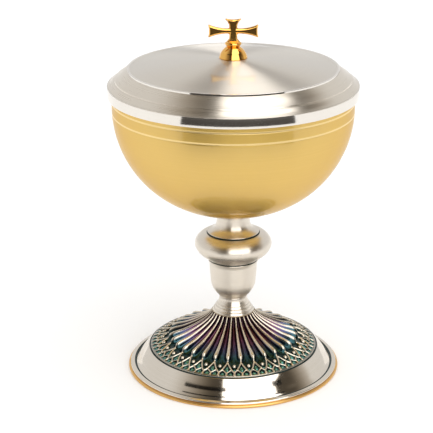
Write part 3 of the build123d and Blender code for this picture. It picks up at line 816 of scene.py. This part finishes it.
def far_mat():
    """Dark ground in front of the table's edge, met only by reflections."""
    near, far = 0.44, 5.0
    angle = np.radians(np.linspace(-45, 54, 30))
    ring = np.stack([np.sin(angle), -np.cos(angle)], -1)
    flat = np.concatenate([near * ring, far * ring])
    verts = np.column_stack([flat, np.full(len(flat), 0.0004)])
    count = len(angle)
    faces = [(i, i + count, i + count + 1, i + 1) for i in range(count - 1)]
    obj = stage_sheet("dark_front", verts.tolist(), faces, "dark_front",
                      (0.035, 0.030, 0.026), 1.0)
    obj.visible_camera = False
    obj.visible_diffuse = False
    obj.visible_shadow = False


ROOM = 0.80               # brightness of the room that reflections meet
GAPS = 0.72               # what the brown gaps take off it
PANEL = 1.6               # what the bright panel adds
BARS = 0.95               # share of light that the dark bars take
GAP_TINT = (1.0, 0.84, 0.64)
EYE_FRONT, EYE_UP = 0.93, 0.40   # direction from the vessel to the camera
FLOOD = 1.03              # plain light on everything that isn't a mirror


def studio():
    """White room with a bright panel in front, right of the middle, and dark gaps beside
    it. The background that the camera sees is plain."""
    world = bpy.data.worlds.new("studio")
    bpy.context.scene.world = world
    world.use_nodes = True
    tree = world.node_tree
    tree.nodes.clear()

    def add(kind, **inputs):
        node = tree.nodes.new(kind)
        for key, value in inputs.items():
            socket = node.inputs[int(key[1:])] if key[0] == "_" else node.inputs[key]
            if isinstance(value, bpy.types.NodeSocket):
                tree.links.new(value, socket)
            else:
                socket.default_value = value
        return node

    def calc(operation, a, b=0.0):
        node = add("ShaderNodeMath", _0=a, _1=b)
        node.operation = operation
        return node.outputs[0]

    def times(a, b):
        return calc("MULTIPLY", a, b)

    def less(value):
        return calc("SUBTRACT", 1.0, value)

    def step(value, a, b):
        node = add("ShaderNodeMapRange", _0=value, _1=a, _2=b, _3=0.0, _4=1.0)
        node.interpolation_type = "SMOOTHSTEP"
        return node.outputs[0]

    def window(value, a, b, soft):
        return times(step(value, a - soft, a + soft), less(step(value, b - soft, b + soft)))

    xyz = add("ShaderNodeSeparateXYZ", _0=add("ShaderNodeTexCoord").outputs["Generated"]).outputs
    # a, tilt: the side and slope, in degrees, of a surface that shows a direction to the
    # camera; e: the direction's height from the front over the top
    back = calc("SUBTRACT", EYE_FRONT, xyz[1])
    a = calc("DEGREES", calc("ARCTAN2", xyz[0], back))
    radial = calc("SQRT", calc("ADD", times(xyz[0], xyz[0]), times(back, back)))
    tilt = calc("DEGREES", calc("ARCTAN2", calc("ADD", xyz[2], EYE_UP), radial))
    e = calc("DEGREES", calc("ARCTAN2", xyz[2], times(xyz[1], -1.0)))
    # the panel, whose right edge moves outwards overhead
    edge = calc("ADD", 26.5, times(5.0, step(e, 58.0, 82.0)))
    beyond = calc("SUBTRACT", a, edge)
    past_left = step(a, -7.0, -6.0)
    past_right = step(beyond, -0.5, 0.5)
    panel = times(times(past_left, less(past_right)), window(e, 2.0, 104.0, 4.0))
    # the gaps beside it, sharp at the panel and soft further out
    left = times(step(a, -44.0, -10.0), less(past_left))
    right = times(past_right, less(step(beyond, 5.0, 30.0)))
    gaps = times(calc("MAXIMUM", left, right), window(e, 0.0, 128.0, 10.0))
    # two thin dark bars, seen in the foot's flange
    bar = times(window(a, -31.0, -4.5, 0.3), window(tilt, 34.3, 36.8, 0.15))
    stub = times(window(a, 25.0, 31.5, 0.3), window(tilt, 35.4, 38.0, 0.15))
    bars = calc("MAXIMUM", bar, stub)
    room = calc("SUBTRACT", ROOM, times(gaps, GAPS))
    level = times(calc("ADD", room, times(panel, PANEL)), less(times(bars, BARS)))
    path = add("ShaderNodeLightPath").outputs
    tint = add("ShaderNodeMix")
    tint.data_type = "RGBA"
    tree.links.new(times(gaps, less(path["Is Diffuse Ray"])), tint.inputs[0])
    tint.inputs[6].default_value = (1.0, 1.0, 1.0, 1)
    tint.inputs[7].default_value = (*GAP_TINT, 1)
    soft = add("ShaderNodeMix")
    tree.links.new(path["Is Diffuse Ray"], soft.inputs[0])
    tree.links.new(level, soft.inputs[2])
    soft.inputs[3].default_value = FLOOD
    lit = add("ShaderNodeBackground", _0=tint.outputs[2], _1=soft.outputs[0])
    plain = add("ShaderNodeBackground", _0=(1.0, 1.0, 1.0, 1), _1=1.0)
    mix = add("ShaderNodeMixShader", _0=path["Is Camera Ray"], _1=lit.outputs[0],
              _2=plain.outputs[0])
    out = tree.nodes.new("ShaderNodeOutputWorld")
    tree.links.new(mix.outputs[0], out.inputs["Surface"])


def camera():
    """Long lens, a little above the lid and looking down on it."""
    data = bpy.data.cameras.new("camera")
    data.lens = 128.9                        # mm, as is the sensor's width
    data.sensor_width = 36.0
    data.clip_start = 0.01
    obj = bpy.data.objects.new("camera", data)
    bpy.context.scene.collection.objects.link(obj)
    look_left, look_down, roll = 0.656, 19.69, -0.20
    turn = (Matrix.Rotation(math.radians(look_left), 4, "Z")
            @ Matrix.Rotation(math.radians(90 - look_down), 4, "X")
            @ Matrix.Rotation(math.radians(roll), 4, "Z"))
    obj.matrix_world = Matrix.Translation((0, -0.796, 0.372)) @ turn
    bpy.context.scene.camera = obj


floor()
far_mat()
studio()
camera()
bpy.context.scene.view_settings.view_transform = "Standard"
